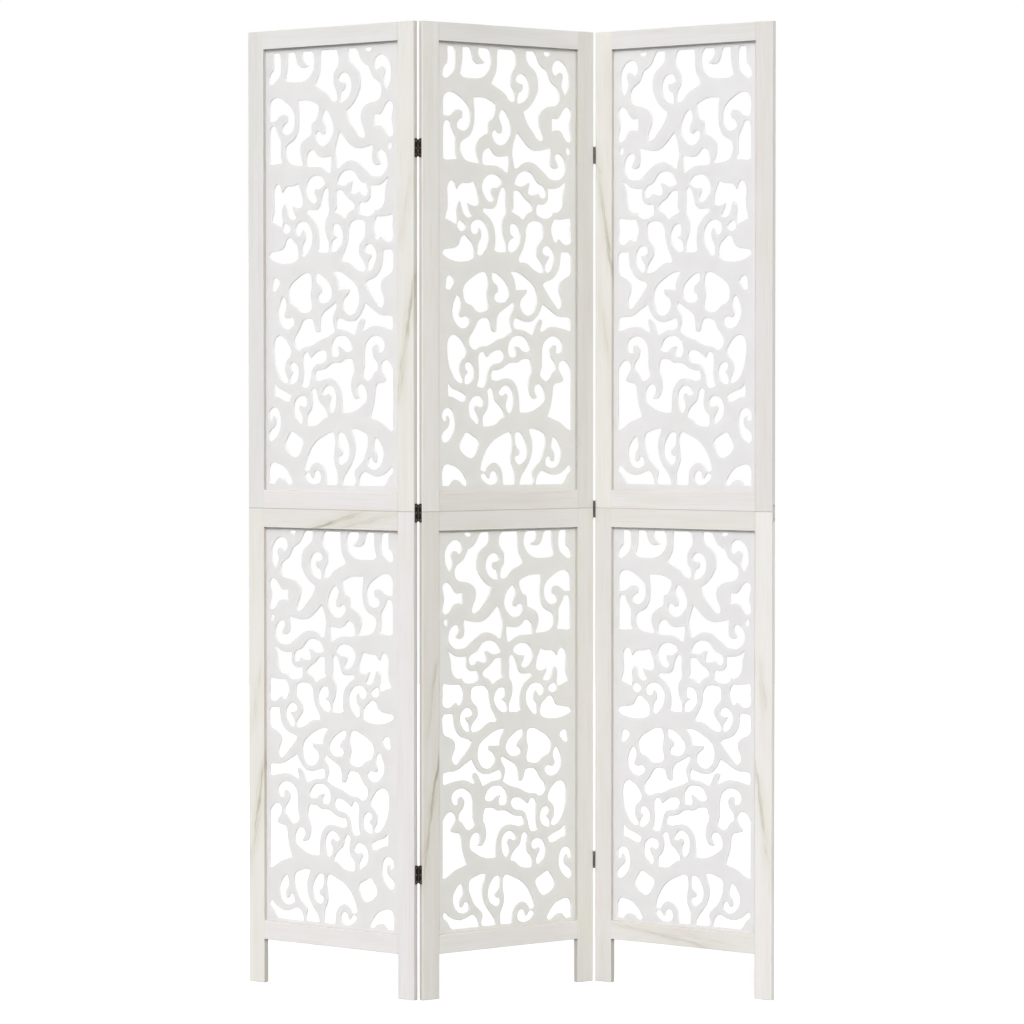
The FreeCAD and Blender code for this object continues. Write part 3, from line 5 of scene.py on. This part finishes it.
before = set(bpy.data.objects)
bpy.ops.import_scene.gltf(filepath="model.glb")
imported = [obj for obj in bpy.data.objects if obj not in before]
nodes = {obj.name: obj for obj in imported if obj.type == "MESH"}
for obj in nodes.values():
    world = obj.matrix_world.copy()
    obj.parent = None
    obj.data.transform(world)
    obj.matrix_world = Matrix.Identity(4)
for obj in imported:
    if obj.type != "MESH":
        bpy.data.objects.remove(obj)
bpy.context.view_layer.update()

# Stiles and rails: planed boards of a pale softwood under a thin whitewash, doweled into an upper and a
# lower frame for each leaf. The grain shows through the wash along every board, and some boards carry a
# slanting resin streak. The inner edges, around the panel's recess and under the top rail, carry painted
# shade.
SEAM_HEIGHT = max(vertex.co.z for vertex in nodes["left_lower_left_stile"].data.vertices)
LEG_HEIGHT = min(vertex.co.z for vertex in nodes["left_lower_bottom_rail"].data.vertices)
# How far each leaf stands turned from straight across, in degrees
LEAF_TURN = {"left": -33.46, "middle": 33.56, "right": -33.3}
# Tones of the wash, from milky boards to mossy ones
MILK = (0.872, 0.856, 0.832)
PEARL = (0.840, 0.820, 0.796)
CHALK = (0.803, 0.796, 0.782)
ASH = (0.780, 0.774, 0.764)
ROSE = (0.830, 0.803, 0.803)
CREAM = (0.830, 0.813, 0.775)
OAT = (0.803, 0.777, 0.750)
SAGE = (0.785, 0.764, 0.725)
DOVE = (0.782, 0.762, 0.744)
MOSS = (0.738, 0.726, 0.685)
# Wash of the left stile, the right stile, the top rail and the bottom rail of each frame
WASHES = {
    ("left", "upper"): (ASH, CREAM, CHALK, ROSE),
    ("left", "lower"): (CREAM, ROSE, OAT, ROSE),
    ("middle", "upper"): (CREAM, MOSS, CHALK, SAGE),
    ("middle", "lower"): (SAGE, SAGE, OAT, PEARL),
    ("right", "upper"): (CREAM, DOVE, ASH, ROSE),
    ("right", "lower"): (DOVE, MILK, OAT, PEARL),
}
# Resin streaks: how far along from the middle of the board, sideways lean per metre along, strength of the
# core, how much of the board's width it crosses, and the end at which it is darkest
STREAKS = {
    "left_upper_right_stile": [(-0.13, 0.155, 0.5, 1.0, 1), (0.095, 0.16, 0.12, 0.5, 1)],
    "left_lower_left_stile": [(-0.13, 0.155, 0.42, 1.0, 1), (0.08, 0.16, 0.15, 0.5, 1)],
    "left_lower_top_rail": [(0.022, 0.29, 0.66, 1.0, -1), (0.086, 0.22, 0.25, 0.7, -1)],
    "middle_lower_left_stile": [(-0.10, 0.155, 0.62, 1.0, 1), (0.09, 0.16, 0.25, 0.6, 1)],
    "right_upper_left_stile": [(0.105, -0.155, 0.5, 1.0, -1), (-0.09, -0.14, 0.12, 0.5, -1)],
    "right_lower_right_stile": [(-0.11, -0.16, 0.28, 1.0, 1), (0.11, -0.14, 0.08, 0.4, 1)],
    "right_lower_bottom_rail": [(-0.045, -0.13, 0.30, 0.8, 1), (0.05, -0.15, 0.10, 0.5, -1)],
}
RESIN = (0.30, 0.26, 0.19, 1)
HEARTWOOD = (0.66, 0.64, 0.50, 1)
RESIN_STRAND = (0.76, 0.71, 0.62, 1)
# Half widths of a streak's glow, strands and core, and how far its line sways to a side
GLOW_REACH = 0.018
STRAND_REACH = 0.011
CORE_REACH = 0.0046
STREAK_SWAY = 0.010
# Across the board, how far a streak is whole, where it has ended, and where it is darkest
STREAK_WHOLE = 0.008
STREAK_END = 0.026
STREAK_DARKEST = 0.014
# Grain patterns: how many times longer than wide, how fine, and how much detail
FIBRES = (40, 520, 4)
BANDS = (16, 95, 3)
CLOUDS = (4, 32, 2)
SWAYING = (4, 110, 3)
STRANDS = (14, 300, 3)
# Tints: thin bands, green and pink clouds, fine lines, rubbed edges, painted shade on inner edges and seam
THIN_BAND = (0.955, 0.945, 0.925, 1)
GREEN_CLOUD = (0.975, 0.985, 0.94, 1)
PINK_CLOUD = (1.0, 0.975, 0.975, 1)
FIBRE_LINE = (0.90, 0.88, 0.84, 1)
RUBBED_EDGE = (0.95, 0.93, 0.89, 1)
INNER_SHADE_TINT = (1, 0.975, 0.935)
SEAM_SHADE = (0.84, 0.82, 0.79, 1)
# Distances from the seam at which its painted shade is dark and at which it has faded
SEAM_DARK = 0.0004
SEAM_FADED = 0.0011
# Painted light and shade on a leaf's outer edge: its brightness at the front and at the back
OUTER_EDGE_LIGHT = {
    ("left", "right_stile"): (1.08, 0.70),
    ("middle", "left_stile"): (1.15, 0.68),
    ("right", "right_stile"): (1.08, 1.04),
}
PLAIN_EDGE = (0.95, 0.90)
HALF_BOARD = 0.0055
# Painted shadow of the rail in the corner at the top of each leg, this far down the leg
CORNER_SHADOW_REACH = 0.006
CORNER_SHADOW = (0.52, 0.50, 0.46, 1)


def add(tree, kind, **values):
    """A shader node. Underscores in a socket's name stand for spaces; a value may be a socket to link."""
    made = tree.nodes.new("ShaderNode" + kind)
    for name, value in values.items():
        socket = made.inputs[name.replace("_", " ")]
        if isinstance(value, bpy.types.NodeSocket):
            tree.links.new(value, socket)
        else:
            socket.default_value = value
    return made


def work(tree, operation, *values):
    """The result of one sum on numbers and sockets."""
    made = tree.nodes.new("ShaderNodeMath")
    made.operation = operation
    for socket, value in zip(made.inputs, values):
        if isinstance(value, bpy.types.NodeSocket):
            tree.links.new(value, socket)
        else:
            socket.default_value = value
    return made.outputs[0]


def rise(tree, value, low, high):
    """0 at low, 1 at high, and a smooth change between; low may lie above high."""
    made = add(tree, "MapRange", Value=value, From_Min=low, From_Max=high)
    made.interpolation_type = "SMOOTHSTEP"
    return made.outputs[0]


def tone(tree, way, amount, under, over):
    """One colour laid over another by an amount from 0 to 1."""
    made = tree.nodes.new("ShaderNodeMix")
    made.data_type = "RGBA"
    made.blend_type = way
    for number, value in ((0, amount), (6, under), (7, over)):
        if isinstance(value, bpy.types.NodeSocket):
            tree.links.new(value, made.inputs[number])
        else:
            made.inputs[number].default_value = value
    return made.outputs[2]


def noise(tree, where, seed, scale, detail):
    """A cloudy pattern from 0 to 1, fixed by its seed."""
    made = add(tree, "TexNoise", Vector=where, Scale=scale, Detail=detail)
    made.noise_dimensions = "4D"
    made.inputs["W"].default_value = seed
    return made.outputs[0]


def finish_on(name):
    """An empty material with its node tree and its shader."""
    material = bpy.data.materials.new(name)
    material.use_nodes = True
    tree = material.node_tree
    tree.nodes.clear()
    shader = tree.nodes.new("ShaderNodeBsdfPrincipled")
    output = tree.nodes.new("ShaderNodeOutputMaterial")
    tree.links.new(shader.outputs[0], output.inputs["Surface"])
    return material, tree, shader


def dress(name, material):
    """Give a piece its one material."""
    mesh = nodes[name].data
    mesh.materials.clear()
    mesh.materials.append(material)


def board_space(tree, name, turn, upright):
    """Distances across, through and along a board, from its middle."""
    straighten = Matrix.Rotation(-radians(turn), 3, "Z")
    corners = [straighten @ vertex.co for vertex in nodes[name].data.vertices]
    middle = [(min(side) + max(side)) / 2 for side in zip(*corners)]
    where = tree.nodes.new("ShaderNodeTexCoord").outputs["Object"]
    to_board = add(tree, "Mapping", Vector=where, Rotation=(0, 0, -radians(turn)))
    to_board.inputs["Location"].default_value = [-value for value in middle]
    sideways, through, up = add(tree, "SeparateXYZ", Vector=to_board.outputs[0]).outputs
    if upright:
        return sideways, through, up
    return up, through, sideways


def stretched(tree, space, length):
    """Board coordinates for a pattern whose lines are this many times longer than wide."""
    across, through, along = space
    shrunk = work(tree, "DIVIDE", along, length)
    return add(tree, "CombineXYZ", X=across, Y=through, Z=shrunk).outputs[0]


def grain(tree, space, pattern, seed):
    """One of the grain patterns on a board, from 0 to 1."""
    length, scale, detail = pattern
    return noise(tree, stretched(tree, space, length), seed, scale, detail)


def facing(tree, turn, direction):
    """How squarely a surface looks in a direction of its leaf: right, through or up."""
    outward = tree.nodes.new("ShaderNodeTexCoord").outputs["Normal"]
    turned = add(tree, "VectorRotate", Vector=outward, Angle=-radians(turn))
    turned.rotation_type = "Z_AXIS"
    along = tree.nodes.new("ShaderNodeVectorMath")
    along.operation = "DOT_PRODUCT"
    tree.links.new(turned.outputs[0], along.inputs[0])
    along.inputs[1].default_value = direction
    return along.outputs["Value"]


def streak(tree, space, seed, place, lean, crossing, dark_end):
    """A slanting figure in the wood: its broad glow, fine strands and dark core, each from 0 to 1."""
    across, through, along = space
    wander = grain(tree, space, SWAYING, seed)
    past = work(tree, "SUBTRACT", along, place)
    straight = work(tree, "SUBTRACT", across, work(tree, "MULTIPLY", past, lean))
    sway = work(tree, "MULTIPLY", work(tree, "SUBTRACT", wander, 0.5), STREAK_SWAY)
    line = work(tree, "ADD", straight, sway)
    beside = work(tree, "ABSOLUTE", line)
    span = crossing / abs(lean)
    ends = rise(tree, work(tree, "ABSOLUTE", past), STREAK_END * span, STREAK_WHOLE * span)
    darkest = STREAK_DARKEST * span
    darker = rise(tree, work(tree, "MULTIPLY", past, dark_end), -darkest, darkest)
    thread = grain(tree, (line, through, past), STRANDS, seed + 0.5)
    glow = work(tree, "MULTIPLY", rise(tree, beside, GLOW_REACH, 0.001), ends)
    near_line = rise(tree, beside, STRAND_REACH, 0.002)
    strands = work(tree, "MULTIPLY", rise(tree, thread, 0.50, 0.66), near_line)
    strands = work(tree, "MULTIPLY", strands, ends)
    core = work(tree, "MULTIPLY", rise(tree, beside, CORE_REACH, 0.0003), ends)
    core = work(tree, "MULTIPLY", core, rise(tree, thread, 0.26, 0.58))
    core = work(tree, "MULTIPLY", core, work(tree, "ADD", work(tree, "MULTIPLY", darker, 0.75), 0.25))
    return glow, strands, core


def washed_grain(tree, wash, fibre, band, cloud):
    """The wash with its thin bands, its green and pink clouds and its fine lines."""
    colour = tone(tree, "MULTIPLY", rise(tree, band, 0.35, 0.75), (*wash, 1), THIN_BAND)
    colour = tone(tree, "MULTIPLY", rise(tree, cloud, 0.5, 0.75), colour, GREEN_CLOUD)
    colour = tone(tree, "MULTIPLY", rise(tree, cloud, 0.48, 0.28), colour, PINK_CLOUD)
    fine_lines = work(tree, "MULTIPLY", rise(tree, fibre, 0.5, 0.75), 0.5)
    return tone(tree, "MULTIPLY", fine_lines, colour, FIBRE_LINE)


def with_resin(tree, colour, space, streaks, seed):
    """A board's colour with its resin streaks laid over it."""
    for number, (place, lean, strength, crossing, dark_end) in enumerate(streaks):
        glow, strands, core = streak(tree, space, seed + number, place, lean, crossing, dark_end)
        warmth = work(tree, "MULTIPLY", glow, 0.14 + 0.28 * strength)
        colour = tone(tree, "MIX", warmth, colour, HEARTWOOD)
        threads = work(tree, "MULTIPLY", strands, 0.25 + 0.55 * strength)
        colour = tone(tree, "MULTIPLY", threads, colour, RESIN_STRAND)
        colour = tone(tree, "MIX", work(tree, "MULTIPLY", core, strength), colour, RESIN)
    return colour


def with_rubbed_edges(tree, colour, turn, fibre):
    """A board's colour with its rounded edges rubbed here and there along the grain."""
    squarely = work(tree, "ABSOLUTE", facing(tree, turn, (0, 1, 0)))
    arris = work(tree, "MULTIPLY", rise(tree, squarely, 0.98, 0.8), rise(tree, squarely, 0.15, 0.4))
    worn = work(tree, "MULTIPLY", arris, rise(tree, fibre, 0.35, 0.65))
    return tone(tree, "MULTIPLY", worn, colour, RUBBED_EDGE)


def with_outer_edge_light(tree, colour, through, outward, front, back):
    """A stile's colour with painted light and shade on its outer edge, as given at the front and at the
    back.
    """
    depth = add(tree, "MapRange", Value=through, From_Min=-HALF_BOARD, From_Max=HALF_BOARD)
    depth.inputs["To Min"].default_value = front
    depth.inputs["To Max"].default_value = back
    return tone(tree, "MULTIPLY", rise(tree, outward, 0.4, 0.85), colour, depth.outputs[0])


def with_joint_shade(tree, colour, inner_edge_shade):
    """A board's colour with painted shadow in the corner atop the legs and painted shade in the seam."""
    where = tree.nodes.new("ShaderNodeTexCoord").outputs["Object"]
    up = add(tree, "SeparateXYZ", Vector=where).outputs["Z"]
    # Painted shadow under the rail on the inner edge at the top of each leg
    below_rail = work(tree, "SUBTRACT", LEG_HEIGHT, up)
    on_leg = rise(tree, below_rail, -0.001, 0)
    corner_shadow = work(tree, "MULTIPLY", rise(tree, below_rail, CORNER_SHADOW_REACH, 0), on_leg)
    corner_shadow = work(tree, "MULTIPLY", corner_shadow, inner_edge_shade)
    colour = tone(tree, "MULTIPLY", corner_shadow, colour, CORNER_SHADOW)
    # Painted shade along the groove of the seam
    from_seam = work(tree, "ABSOLUTE", work(tree, "SUBTRACT", up, SEAM_HEIGHT))
    return tone(tree, "MULTIPLY", rise(tree, from_seam, SEAM_FADED, SEAM_DARK), colour, SEAM_SHADE)


def whitewash(name, turn, upright, inward, wash, edges, seed):
    """The finish of a board. Edges: painted shade of the inner edge, painted light of the outer edge front
    and back.
    """
    material, tree, shader = finish_on("whitewash_" + name)
    space = board_space(tree, name, turn, upright)
    fibre = grain(tree, space, FIBRES, seed)
    band = grain(tree, space, BANDS, seed + 0.3)
    cloud = grain(tree, space, CLOUDS, seed + 0.6)
    colour = washed_grain(tree, wash, fibre, band, cloud)
    colour = with_resin(tree, colour, space, STREAKS.get(name, []), seed)
    colour = with_rubbed_edges(tree, colour, turn, fibre)
    inner, front, back = edges
    # Painted shade on the inner edges, which face into the recess around the panel
    inner_edge_shade = rise(tree, facing(tree, turn, inward), 0.5, 0.95)
    colour = tone(tree, "MULTIPLY", inner_edge_shade, colour, (*(inner * tint for tint in INNER_SHADE_TINT), 1))
    # Painted light and shade on the outer edge of a stile
    if upright:
        outward = facing(tree, turn, [-value for value in inward])
        colour = with_outer_edge_light(tree, colour, space[1], outward, front, back)
    colour = with_joint_shade(tree, colour, inner_edge_shade)
    tree.links.new(colour, shader.inputs["Base Color"])
    rough = add(tree, "MapRange", Value=band, To_Min=0.5, To_Max=0.68)
    tree.links.new(rough.outputs[0], shader.inputs["Roughness"])
    shader.inputs["Specular IOR Level"].default_value = 0.3
    bump = add(tree, "Bump", Strength=0.25, Distance=0.0003, Height=fibre)
    tree.links.new(bump.outputs[0], shader.inputs["Normal"])
    return material


# Boards of a frame, with whether each stands upright, which way its inner edge looks, and how much of the
# wash's brightness that edge keeps under its painted shade
BOARDS = {
    "left_stile": (True, (1, 0, 0), 0.78),
    "right_stile": (True, (-1, 0, 0), 0.78),
    "top_rail": (False, (0, 0, -1), 0.58),
    "bottom_rail": (False, (0, 0, 1), 0.86),
}
for frame_number, ((leaf, tier), washes) in enumerate(WASHES.items()):
    for board_number, (board, (upright, inward, inner_shade)) in enumerate(BOARDS.items()):
        name = f"{leaf}_{tier}_{board}"
        seed = frame_number * 4 + board_number
        edges = (inner_shade, *OUTER_EDGE_LIGHT.get((leaf, board), PLAIN_EDGE))
        dress(name, whitewash(name, LEAF_TURN[leaf], upright, inward, washes[board_number], edges, seed))

# Fret panels: thin boards with the scrolls sawn out, sprayed with smooth off-white paint and laid in a
# rabbet at the back of each frame, with painted light on the sawn walls and painted shade above the ledge.
WALL_PAINTED_LIGHT = (0.95, 0.945, 0.935, 1)
LEDGE_SHADE = (0.94, 0.94, 0.94, 1)
# How much of the panel the rabbet covers at its lower end, and how far above that the painted shade reaches
PANEL_LAP = 0.006
LEDGE_SHADE_REACH = 0.018
# How fine the paint's cloudy patches and its sprayed grain are
PATCHES = 22
SPRAY = 900
# Each leaf's panels in full paint and where it lies thinner
PANEL_PAINT = {
    "left": ((0.795, 0.787, 0.787, 1), (0.772, 0.763, 0.760, 1)),
    "middle": ((0.790, 0.783, 0.754, 1), (0.768, 0.760, 0.728, 1)),
    "right": ((0.803, 0.795, 0.799, 1), (0.780, 0.771, 0.772, 1)),
}


def fret_paint(name, turn, full, thin, seed):
    """The sprayed finish of a panel, from full paint to thin paint, with painted light and shade."""
    material, tree, shader = finish_on("fret_paint_" + name)
    space = board_space(tree, name, turn, True)
    where = stretched(tree, space, 1)
    mottle = noise(tree, where, seed, PATCHES, 3)
    spray = noise(tree, where, seed, SPRAY, 2)
    colour = tone(tree, "MIX", rise(tree, mottle, 0.3, 0.75), full, thin)
    # Painted light on the sawn walls, whiter than the faces
    squarely = work(tree, "ABSOLUTE", facing(tree, turn, (0, 1, 0)))
    colour = tone(tree, "MIX", rise(tree, squarely, 0.7, 0.3), colour, WALL_PAINTED_LIGHT)
    # Painted shade on the panel just above the bottom rail's ledge
    half_height = nodes[name].dimensions.z / 2
    above_ledge = work(tree, "ADD", space[2], half_height - PANEL_LAP)
    colour = tone(tree, "MULTIPLY", rise(tree, above_ledge, LEDGE_SHADE_REACH, 0.002), colour, LEDGE_SHADE)
    tree.links.new(colour, shader.inputs["Base Color"])
    rough = add(tree, "MapRange", Value=mottle, To_Min=0.5, To_Max=0.62)
    tree.links.new(rough.outputs[0], shader.inputs["Roughness"])
    shader.inputs["Specular IOR Level"].default_value = 0.3
    shader.inputs["Subsurface Weight"].default_value = 1.0
    shader.inputs["Subsurface Radius"].default_value = (1, 1, 1)
    shader.inputs["Subsurface Scale"].default_value = 0.004
    bump = add(tree, "Bump", Strength=0.12, Distance=0.0001, Height=spray)
    tree.links.new(bump.outputs[0], shader.inputs["Normal"])
    return material


for seed, (leaf, tier) in enumerate(WASHES):
    name = f"{leaf}_{tier}_fret_panel"
    dress(name, fret_paint(name, LEAF_TURN[leaf], *PANEL_PAINT[leaf], seed))

# Dowels: turned pegs of bare beech with fine flecks, glued into the rails and stiles at the corners of the
# frames and across the seam, where the boards hide them.
BEECH_DARK = (0.62, 0.46, 0.30, 1)
BEECH_LIGHT = (0.74, 0.60, 0.43, 1)
material, tree, shader = finish_on("beech_pegs")
where = tree.nodes.new("ShaderNodeTexCoord").outputs["Object"]
fleck = noise(tree, where, 0, 600, 3)
beech = tone(tree, "MIX", fleck, BEECH_DARK, BEECH_LIGHT)
tree.links.new(beech, shader.inputs["Base Color"])
shader.inputs["Roughness"].default_value = 0.7
for leaf in LEAF_TURN:
    dress(f"{leaf}_dowels", material)

# Hinges: pressed steel butts with rolled knuckles around a round pin with ball tips, screwed to the edges
# of the leaves. Their dark antique finish has worn thin in patches, and the hinges at the right fold are
# paler.
WORN_PATCHES = 260
STEEL_GRIT = 1500


def antique(name, dark, worn, metal):
    """A mottled finish on steel, from its dark colour to its worn one."""
    material, tree, shader = finish_on(name)
    where = tree.nodes.new("ShaderNodeTexCoord").outputs["Object"]
    patch = noise(tree, where, 0, WORN_PATCHES, 4)
    grit = noise(tree, where, 1, STEEL_GRIT, 2)
    colour = tone(tree, "MIX", rise(tree, patch, 0.45, 0.75), dark, worn)
    tree.links.new(colour, shader.inputs["Base Color"])
    shader.inputs["Metallic"].default_value = metal
    rough = add(tree, "MapRange", Value=patch, To_Min=0.55, To_Max=0.32)
    tree.links.new(rough.outputs[0], shader.inputs["Roughness"])
    bump = add(tree, "Bump", Strength=0.3, Distance=0.0001, Height=grit)
    tree.links.new(bump.outputs[0], shader.inputs["Normal"])
    return material


hinge_steel = {
    "left": antique("dark_hinge_steel", (0.045, 0.034, 0.028, 1), (0.15, 0.115, 0.095, 1), 0.7),
    "right": antique("pale_hinge_steel", (0.085, 0.077, 0.070, 1), (0.19, 0.17, 0.155, 1), 0.5),
}
for joint, steel in hinge_steel.items():
    for level in ("top", "middle", "bottom"):
        for piece in ("plate", "wing", "pin"):
            dress(f"{joint}_{level}_hinge_{piece}", steel)

# Screws: slotted steel, countersunk in the hinges and round-headed on the straps, a little brighter than
# the hinges they hold.
screw_steel = antique("dull_screw_steel", (0.34, 0.30, 0.26, 1), (0.52, 0.48, 0.43, 1), 0.8)
for leaf in LEAF_TURN:
    dress(f"{leaf}_screws", screw_steel)

# Joining straps: flat steel strips in grey paint, screwed across the seam on the two outer edges of the
# screen to hold the upper frames on the lower ones.
strap_grey = antique("grey_strap_paint", (0.58, 0.58, 0.56, 1), (0.68, 0.68, 0.65, 1), 0.1)
for leaf in ("left", "right"):
    dress(f"{leaf}_joining_strap", strap_grey)

# Floor: a plain pale sheet that the screen stands on. The camera sees it as white as the studio behind,
# with the shadow at the feet.
FLOOR_REACH = 6.0
FLOOR_GLOW = 0.62
floor_mesh = bpy.data.meshes.new("floor")
around = ((-1, -1), (1, -1), (1, 1), (-1, 1))
corners = [(x * FLOOR_REACH, y * FLOOR_REACH, 0) for x, y in around]
floor_mesh.from_pydata(corners, [], [(0, 1, 2, 3)])
floor = bpy.data.objects.new("floor", floor_mesh)
bpy.context.scene.collection.objects.link(floor)


def seen_directly(tree):
    """1 for what the camera sees, straight or mirrored or through glass, and 0 for light on its way."""
    path = tree.nodes.new("ShaderNodeLightPath")
    mirrored = work(tree, "MAXIMUM", path.outputs["Is Camera Ray"], path.outputs["Is Glossy Ray"])
    return work(tree, "MAXIMUM", mirrored, path.outputs["Is Transmission Ray"])


pale = bpy.data.materials.new("pale_floor")
pale.use_nodes = True
tree = pale.node_tree
tree.nodes.clear()
matte = add(tree, "BsdfDiffuse", Color=(0.24, 0.24, 0.235, 1))
shadowed = add(tree, "BsdfDiffuse", Color=(0.5, 0.5, 0.5, 1))
lit = add(tree, "Emission", Color=(1, 1, 1, 1), Strength=FLOOR_GLOW)
bright = tree.nodes.new("ShaderNodeAddShader")
tree.links.new(shadowed.outputs[0], bright.inputs[0])
tree.links.new(lit.outputs[0], bright.inputs[1])
either = add(tree, "MixShader", Fac=seen_directly(tree))
tree.links.new(matte.outputs[0], either.inputs[1])
tree.links.new(bright.outputs[0], either.inputs[2])
output = tree.nodes.new("ShaderNodeOutputMaterial")
tree.links.new(either.outputs[0], output.inputs["Surface"])
floor_mesh.materials.append(pale)

# Studio: plain white to the eye. Its light comes from the bright backdrop behind and beside the screen, and
# little of it from the camera's side.
BACKDROP_LIGHT = 1.0
FRONT_LIGHT = 0.10
world = bpy.data.worlds.new("studio")
bpy.context.scene.world = world
world.use_nodes = True
tree = world.node_tree
tree.nodes.clear()
toward = tree.nodes.new("ShaderNodeTexCoord").outputs["Generated"]
behind = add(tree, "SeparateXYZ", Vector=toward).outputs["Y"]
backdrop = add(tree, "MapRange", Value=behind, From_Min=-0.5, From_Max=0.25)
backdrop.inputs["To Min"].default_value = FRONT_LIGHT
backdrop.inputs["To Max"].default_value = BACKDROP_LIGHT
fill = add(tree, "Background", Color=(1, 1, 1, 1), Strength=backdrop.outputs[0])
white = add(tree, "Background", Color=(1, 1, 1, 1), Strength=1.0)
either = add(tree, "MixShader", Fac=seen_directly(tree))
tree.links.new(fill.outputs[0], either.inputs[1])
tree.links.new(white.outputs[0], either.inputs[2])
output = tree.nodes.new("ShaderNodeOutputWorld")
tree.links.new(either.outputs[0], output.inputs["Surface"])

# Lights: a tall strip of soft light above the camera and a broad weak glow from the left. The strip has one
# lamp at each height, with its strength. Turns, heights and spreads are in degrees.
STRIP_LIGHTS = ((17, 0.44), (23, 0.68), (29, 0.62), (36, 0.55), (43, 0.30))
STRIP_TURN = -1
STRIP_SPREAD = 8


def soft_light(name, turn, height, spread, strength):
    """A far lamp that shines on the screen, from the front where its turn is 0."""
    lamp = bpy.data.lights.new(name, "SUN")
    lamp.angle = radians(spread)
    lamp.energy = strength
    holder = bpy.data.objects.new(name, lamp)
    holder.rotation_euler = (radians(90 - height), 0, radians(turn))
    bpy.context.scene.collection.objects.link(holder)


for height, strength in STRIP_LIGHTS:
    soft_light(f"strip_light_{height}", STRIP_TURN, height, STRIP_SPREAD, strength)
soft_light("left_glow", turn=-62, height=38, spread=70, strength=0.62)

# Camera: a little above the middle of the screen, tilted a degree down, with the frame shifted down the
# rest of the way so that the uprights stay nearly parallel.
CAMERA_PLACE = (0.0017, -5.8054, 1.0350)
CAMERA_TILT = 1.2443
camera_data = bpy.data.cameras.new("camera")
camera_data.sensor_width = 36
camera_data.lens = 119.296
camera_data.shift_x = 0.00310
camera_data.shift_y = -0.050
camera_data.clip_end = 50
camera = bpy.data.objects.new("camera", camera_data)
camera.location = CAMERA_PLACE
camera.rotation_euler = (radians(90 - CAMERA_TILT), 0, 0)
bpy.context.scene.collection.objects.link(camera)
bpy.context.scene.camera = camera
bpy.context.scene.view_settings.view_transform = "Standard"

# Bring the scene up to date.
bpy.context.view_layer.update()
